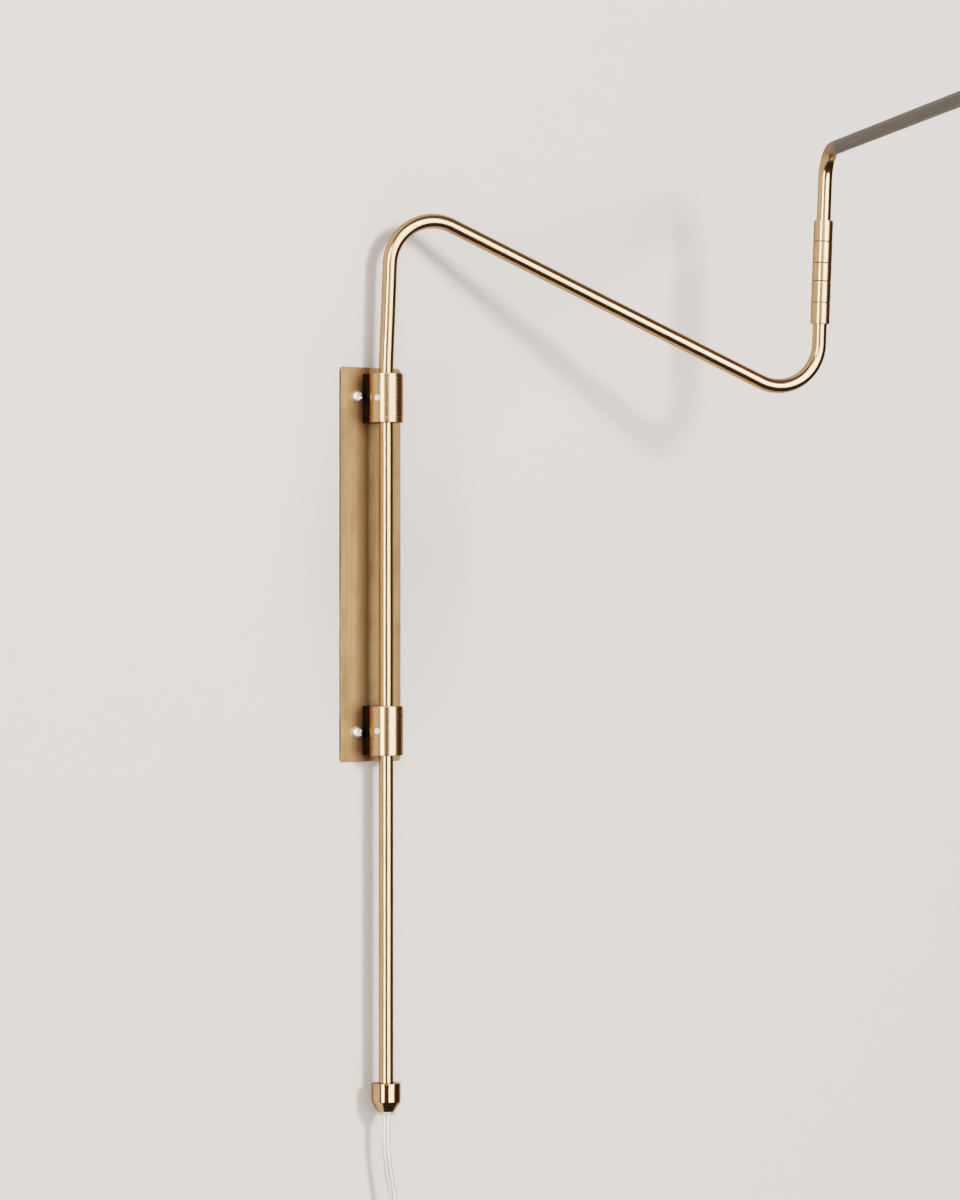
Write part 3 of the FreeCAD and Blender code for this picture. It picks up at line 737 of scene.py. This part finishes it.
def makeScrewTree():
    # winds a thread on a screw shape and sets a copy at each point, each turned a little differently
    tree, given = newTree("wallScrews", {"Screw": "Object", "Thread Radius": "Float", "Thread Depth": "Float",
                                         "Thread Start": "Vector", "Pitch Height": "Float", "Turns": "Float",
                                         "Drive": "Vector", "Spin": "Float", "Seed": "Int", "Material": "Material"})
    places = tree.nodes["Group Input"].outputs["Geometry"]
    spiral = addNode(tree, "GeometryNodeCurveSpiral", {"Resolution": 20, "Rotations": given["Turns"],
                                                      "Start Radius": given["Thread Radius"],
                                                      "End Radius": given["Thread Radius"],
                                                      "Height": given["Pitch Height"]})
    ridge = addNode(tree, "GeometryNodeCurvePrimitiveCircle", {"Resolution": 4, "Radius": given["Thread Depth"]})
    thread = addNode(tree, "GeometryNodeCurveToMesh",
                     {"Curve": spiral.outputs[0], "Profile Curve": ridge.outputs[0],
                                                      "Fill Caps": True})
    moved = addNode(tree, "GeometryNodeTransform", {"Geometry": thread.outputs[0],
                                                    "Translation": given["Thread Start"]})
    screw = addNode(tree, "GeometryNodeObjectInfo", {"Object": given["Screw"]})
    both = tree.nodes.new("GeometryNodeJoinGeometry")
    for part in (moved.outputs[0], screw.outputs["Geometry"]):
        tree.links.new(part, both.inputs[0])
    copies = addNode(tree, "GeometryNodeInstanceOnPoints", {"Points": places, "Instance": both.outputs[0],
                                                            "Rotation": given["Drive"]})
    chance = addNode(tree, "FunctionNodeRandomValue", {3: given["Spin"], "Seed": given["Seed"]})
    spin = addNode(tree, "ShaderNodeCombineXYZ", {"Z": chance.outputs[1]})
    turned = addNode(tree, "GeometryNodeRotateInstances", {"Instances": copies.outputs[0],
                                                           "Rotation": spin.outputs[0], "Local Space": True})
    return endTree(tree, turned.outputs[0], given["Material"])


def recessedHead(name, outline, slotLength, slotWidth, depth, top, slots):
    # a turned screw with crossed slots cut into its head, which faces -Z
    screw = lathe(name, outline, steps=48, closed=False)
    for angle in slots:
        slot = loftedBody("slot", [(top - 1 * mm, slotLength, slotWidth),
                                   (top + depth * 0.6, slotLength, slotWidth),
                                   (top + depth, slotLength * 0.45, slotWidth * 0.8)], 24, 10.0)
        slot.data.transform(Matrix.Rotation(math.radians(angle), 4, "Z"))
        cutAway(screw, slot)
    return screw


panOutline = outlineOf([(0, -2.9), (2.5, -2.8, 0.8), (3.5, -2.2, 0.6), (3.95, -1.1, 0.5), (3.95, 0, 0.15),
                        (2.25, 0, 0.1), (2.25, 2.0, 0.2), (1.85, 2.4, 0.2), (1.85, 26.0, 0.6), (0, 30.4)],
                       closed=False)
panScrew = recessedHead("panScrew", [p * mm for p in panOutline], 2.4 * mm, 0.62 * mm, 1.7 * mm, -2.9 * mm,
                        (20, 110))
screwPoints = bpy.data.meshes.new("screwPoints")
screwPoints.from_pydata([(x * screwSettings["x"], screwSettings["seat"], z * screwSettings["z"])
                         for x in (-1, 1) for z in (-1, 1)], [], [])
wallScrews = fromTree("wallScrews", makeScrewTree(), {
    "Screw": panScrew, "Thread Radius": screwSettings["shank"], "Thread Depth": screwSettings["threadDepth"],
    "Thread Start": (0, 0, screwSettings["threadStart"]),
    "Pitch Height": screwSettings["pitch"] * screwSettings["turns"],
    "Turns": screwSettings["turns"], "Drive": (-math.pi / 2, 0, 0), "Spin": screwSettings["spin"],
    "Seed": screwSettings["seed"], "Material": screwZinc}, screwPoints)
bpy.data.objects.remove(panScrew)
smoothed(wallScrews)
finishPiece(wallScrews, "bracket", screwZinc, "zinc_screw", "wall_screws")
print("screws set")


# lamp holder, hung from the far end of the second arm; heights are measured down from the tube's centreline

def hung(name, outline, steps=96, closed=True):
    return lathe(name, [p * mm for p in outline], atLamp, steps, closed)


capOutline = outlineOf([(4.80, -33.0, 0.2), (6.6, -33.0, 0.5), (6.6, -44.6, 1.2), (10.2, -46.4, 2.4),
                        (15.4, -49.0, 4.0),
                        (17.4, -54.5, 4.5), (17.4, -64.0, 0.25), (16.62, -64.0, 0.15), (16.62, -55.0, 4.2),
                        (14.9, -50.2, 3.6), (9.6, -47.6, 2.0), (5.6, -45.5, 0.6), (4.80, -45.5, 0.1)], steps=6)
cap = hung("lampCap", capOutline, 128)
finishPiece(cap, "second_arm", turnedBrass, "turned_brass", "socket_cap")
lockRing = hung("lockRing", outlineOf([(4.82, -33.0), (9.0, -33.0, 0.5), (9.0, -30.0, 0.5), (4.82, -30.0)], 0.15),
                96)
finishPiece(lockRing, "second_arm", turnedBrass, "turned_brass", "cap_lock_ring")
shellOutline = outlineOf([(15.9, -58.5), (16.55, -58.5), (16.55, -72.0, 0.01), (16.55, -96.0, 0.3),
                          (16.3, -96.7, 0.4),
                          (16.3, -97.3, 0.4), (16.55, -98.0, 0.3), (16.55, -101.2, 0.8), (17.1, -102.4, 0.5),
                          (17.1, -103.4, 0.4), (16.3, -104.0, 0.3), (15.9, -103.4)], 0.15)
shell = hung("lampShell", shellOutline, 160)
shellKnob = knobPlace - knobAxis * 14 * mm
shell = cutAway(shell, roundBar("drill", 3.0 * mm, shellKnob, shellKnob + knobAxis * 12 * mm))
finishPiece(shell, "second_arm", turnedBrass, "turned_brass", "socket_shell")


# bulb: opal glass on a threaded nickel base

bulbSettings = {"threadRadius": 12.55 * mm, "ridge": 0.62 * mm, "pitch": 3.63 * mm, "turns": 3.4,
                "threadFoot": -98.6 * mm}


def makeThreadTree():
    tree, given = newTree("baseThread", {"Radius": "Float", "Ridge": "Float", "Height": "Float", "Turns": "Float",
                                         "Material": "Material"})
    spiral = addNode(tree, "GeometryNodeCurveSpiral", {"Resolution": 72, "Rotations": given["Turns"],
                                                      "Start Radius": given["Radius"],
                                                      "End Radius": given["Radius"],
                                                      "Height": given["Height"]})
    ridge = addNode(tree, "GeometryNodeCurvePrimitiveCircle", {"Resolution": 12, "Radius": given["Ridge"]})
    wound = addNode(tree, "GeometryNodeCurveToMesh", {"Curve": spiral.outputs[0], "Profile Curve": ridge.outputs[0],
                                                     "Fill Caps": True})
    return endTree(tree, wound.outputs[0], given["Material"])


baseOutline = outlineOf([(9.85, -82.7, 0.2), (12.2, -84.4, 0.8), (12.55, -86.0, 0.5), (12.55, -99.0, 0.6),
                         (12.95, -101.0, 0.8), (12.9, -108.5, 0.1), (12.3, -108.5, 0.1), (12.2, -100.5, 0.4),
                         (12.2, -85.4, 0.6), (9.85, -83.6, 0.2)])
bulbBase = hung("bulbBase", baseOutline, 96)
ridges = fromTree("ridges", makeThreadTree(), {
    "Radius": bulbSettings["threadRadius"], "Ridge": bulbSettings["ridge"],
    "Height": bulbSettings["pitch"] * bulbSettings["turns"], "Turns": bulbSettings["turns"],
    "Material": bulbNickel})
ridges.data.transform(atLamp @ Matrix.Translation((0, 0, bulbSettings["threadFoot"])))
bulbBase = joined("bulbBase", [bulbBase, smoothed(ridges)])
finishPiece(bulbBase, "second_arm", bulbNickel, "bulb_nickel", "bulb_base")


def bulbSkin(inset):
    # straight neck, swelling flank and a round dome
    neck, wide, centre = 12.1 - inset, 30.0 - inset, -158.0
    flank = [(neck, -99.0), (neck, -110.0), (neck + 1.4, -115.6), (18.0 - inset, -124.6), (23.2 - inset, -133.4),
             (27.3 - inset, -143.0), (29.4 - inset, -150.6)]
    dome = [(wide * math.cos(math.radians(a)), centre - wide * math.sin(math.radians(a))) for a in range(0, 90, 5)]
    return [Vector(p) for p in flank + dome] + [Vector((0, centre - wide))]


glassOutline = bulbSkin(0.0)[::-1] + bulbSkin(1.0)
bulbGlass = hung("bulbGlass", glassOutline, 96, closed=False)
softer = bulbGlass.modifiers.new("softer", "SUBSURF")
softer.levels = softer.render_levels = 1
baked(bulbGlass)
finishPiece(bulbGlass, "second_arm", opalGlass, "opal_glass", "bulb_glass")
print("lamp holder and bulb made")


# switch knob with a knurled rim

knobSettings = {"count": 36, "radius": 5.85 * mm, "ridge": 0.26 * mm, "from": 22.6 * mm, "length": 5.4 * mm}


def makeKnurlTree():
    tree, given = newTree("knurl", {"Count": "Int", "Radius": "Float", "Ridge": "Float", "Length": "Float",
                                    "Material": "Material"})
    places = addNode(tree, "GeometryNodeMeshCircle", {"Vertices": given["Count"], "Radius": given["Radius"]})
    ridge = addNode(tree, "GeometryNodeMeshCylinder", {"Vertices": 8, "Radius": given["Ridge"],
                                                      "Depth": given["Length"]})
    copies = addNode(tree, "GeometryNodeInstanceOnPoints",
                     {"Points": places.outputs[0], "Instance": ridge.outputs[0]})
    return endTree(tree, copies.outputs[0], given["Material"])


atKnob = (Matrix.Translation(knobPlace - knobAxis * arms["knobOut"])
          @ up.rotation_difference(knobAxis).to_matrix().to_4x4())
knobOutline = outlineOf([(2.05, 20.0), (4.6, 20.0, 0.4), (5.6, 21.2, 0.8), (5.8, 22.4, 0.5), (5.8, 28.4, 0.5),
                         (5.0, 29.5, 0.7), (2.2, 30.1, 1.2), (0, 30.15)], 0.0, closed=False)
knobOutline = [p * mm for p in [Vector((0, 24.1)), Vector((2.05, 24.1))] + knobOutline]
knob = lathe("switchKnob", knobOutline, atKnob, 96, closed=False)
knurl = fromTree("knurl", makeKnurlTree(), {"Count": knobSettings["count"], "Radius": knobSettings["radius"],
                                            "Ridge": knobSettings["ridge"], "Length": knobSettings["length"],
                                            "Material": knobBrass})
knurl.data.transform(atKnob @ Matrix.Translation((0, 0, knobSettings["from"] + knobSettings["length"] / 2)))
knob = joined("switchKnob", [knob, smoothed(knurl)])
finishPiece(knob, "knob", knobBrass, "knob_brass", "switch_knob")


# CAD parts that stay as they are get their finish here

carriedFinishes = {
    "wall_plate": plateBrass, "upper_standoff": standoffShadeBlack, "lower_standoff": standoffShadeBlack,
    "upper_bush": nylonBlack, "lower_bush": nylonBlack, "upper_set_screw": screwZinc, "lower_set_screw": screwZinc,
    "standoff_screws": darkSteel, "knuckle_washers": nylonBlack, "knuckle_pivot": contactBrass,
    "knuckle_nut": contactBrass, "first_arm_wire": wireJacket, "second_arm_wire": wireJacket,
    "socket_liner": linerFibre, "socket_core": phenolicBlack, "terminal_screws": contactBrass,
    "screw_shell": formedMetal, "centre_contact": contactBrass, "bulb_tip": phenolicBlack,
    "switch_stem": darkSteel, "plug_blades": bladeNickel,
}
for node, material in carriedFinishes.items():
    for materialSlot in nodes[node].material_slots:
        materialSlot.material = material
print("carried parts painted")


# stage: the wall, a pale floor and soft light

stageSettings = {
    "wallY": -0.2 * mm, "wallSize": (9.0, 6.0), "floorZ": -1.3, "floorReach": 14.0, "floorGlow": 0.42,
    "wallColour": (0.74, 0.69, 0.645), "floorColour": (0.70, 0.68, 0.66),
    "roomDark": (0.060, 0.054, 0.050), "roomCeiling": (0.20, 0.195, 0.19), "backdrop": (0.80, 0.79, 0.78),
}


def stageMaterial(name, colour, seeThroughBack, glow=0.0):
    material, tree, shader = newMaterial(name, Roughness=0.85, Emission_Color=colour + (1,), Emission_Strength=glow)
    shader.inputs["Specular IOR Level"].default_value = 0.0
    where = surfaceVector(tree, False)
    mottled = noiseOn(tree, where, 3.0, 3.0)
    darker = tuple(c * 0.985 for c in colour)
    tree.links.new(mixColours(tree, mottled, colour + (1,), darker + (1,)), shader.inputs["Base Color"])
    if seeThroughBack:  # lets the lamp be seen from behind the wall
        clear = addNode(tree, "ShaderNodeBsdfTransparent")
        facing = addNode(tree, "ShaderNodeNewGeometry").outputs["Backfacing"]
        mixed = addNode(tree, "ShaderNodeMixShader", {0: facing, 1: shader.outputs[0], 2: clear.outputs[0]})
        tree.links.new(mixed.outputs[0], tree.nodes["Material Output"].inputs["Surface"])
    return material


def stagePlane(name, corners, material):
    mesh = bpy.data.meshes.new(name)
    mesh.from_pydata(corners, [], [tuple(range(len(corners)))])
    plane = newPiece(name, mesh)
    mesh.materials.append(material)
    return plane


wallX, wallZ = stageSettings["wallSize"][0] / 2, stageSettings["wallSize"][1] / 2
wallY, floorZ = stageSettings["wallY"], stageSettings["floorZ"]
stagePlane("wall", [(-wallX, wallY, floorZ), (wallX, wallY, floorZ), (wallX, wallY, wallZ), (-wallX, wallY, wallZ)],
           stageMaterial("wallPaint", stageSettings["wallColour"], True))
reach = stageSettings["floorReach"]
floor = stagePlane("floor", [(-reach, -reach, floorZ), (reach, -reach, floorZ), (reach, reach, floorZ),
                             (-reach, reach, floorZ)],
                   stageMaterial("floorPaint", stageSettings["floorColour"], False, stageSettings["floorGlow"]))
floor.visible_glossy = False  # the metal sees a dim room below it

lampSettings = {  # heading is measured from -Y towards +X, seen from above; panels only show in the metal
    "key": {"heading": 2.6, "height": 17.0, "distance": 3.4, "size": (0.72, 0.72), "power": 122.0,
            "colour": (1.0, 0.985, 0.96), "panel": False},
    "fill": {"heading": -32.0, "height": 14.0, "distance": 2.5, "size": (2.6, 2.6), "power": 42.0,
             "colour": (0.98, 0.985, 1.0), "panel": False},
    "behind": {"heading": 180.0, "height": 35.0, "distance": 3.0, "size": (2.0, 2.0), "power": 60.0,
               "colour": (1.0, 1.0, 1.0), "panel": False},
    "glint": {"heading": 2.6, "height": 14.0, "distance": 3.3, "size": (0.3, 0.6), "power": 14.0,
              "colour": (1.0, 0.985, 0.96), "panel": True},
    "rightPanel": {"heading": 3.0, "height": 4.0, "distance": 3.0, "size": (2.4, 2.6), "power": 145.0,
                   "colour": (1.0, 0.985, 0.965), "panel": True},
    "leftPanel": {"heading": -67.0, "height": 2.0, "distance": 2.2, "size": (0.66, 2.2), "power": 60.0,
                  "colour": (1.0, 0.98, 0.95), "panel": True},
    "overPanel": {"heading": -25.0, "height": 28.0, "distance": 3.0, "size": (1.9, 1.5), "power": 58.0,
                  "colour": (1.0, 0.985, 0.965), "panel": True},
    "backPanel": {"heading": 160.0, "height": 15.0, "distance": 3.0, "size": (2.4, 2.4), "power": 90.0,
                  "colour": (1.0, 1.0, 1.0), "panel": True},
}
lightAim = Vector((0.14, -0.05, -0.02))
for name, lamp in lampSettings.items():
    light = bpy.data.lights.new(name, "AREA")
    light.shape = "RECTANGLE"
    light.size, light.size_y = lamp["size"]
    light.energy = lamp["power"]
    light.color = lamp["colour"]
    heading, height = math.radians(lamp["heading"]), math.radians(lamp["height"])
    away = Vector((math.sin(heading) * math.cos(height), -math.cos(heading) * math.cos(height), math.sin(height)))
    holder = newPiece(name, light)
    holder.location = lightAim + away * lamp["distance"]
    holder.rotation_euler = away.to_track_quat("Z", "Y").to_euler()
    holder.visible_camera = False
    holder.visible_diffuse = not lamp["panel"]
    holder.visible_glossy = lamp["panel"]

world = bpy.data.worlds.new("room")
bpy.context.scene.world = world
world.use_nodes = True
sky = world.node_tree
skyHeight = addNode(sky, "ShaderNodeSeparateXYZ", {0: addNode(sky, "ShaderNodeTexCoord").outputs["Generated"]})
ceiling = remap(sky, skyHeight.outputs["Z"], 0.1, 0.9)
room = mixColours(sky, ceiling, stageSettings["roomDark"] + (1,), stageSettings["roomCeiling"] + (1,))
seen = addNode(sky, "ShaderNodeLightPath").outputs["Is Camera Ray"]
sky.links.new(mixColours(sky, seen, room, stageSettings["backdrop"] + (1,)),
              sky.nodes["Background"].inputs["Color"])
bpy.context.scene.view_settings.view_transform = "Filmic"
bpy.context.scene.view_settings.look = "Medium High Contrast"
print("stage lit")
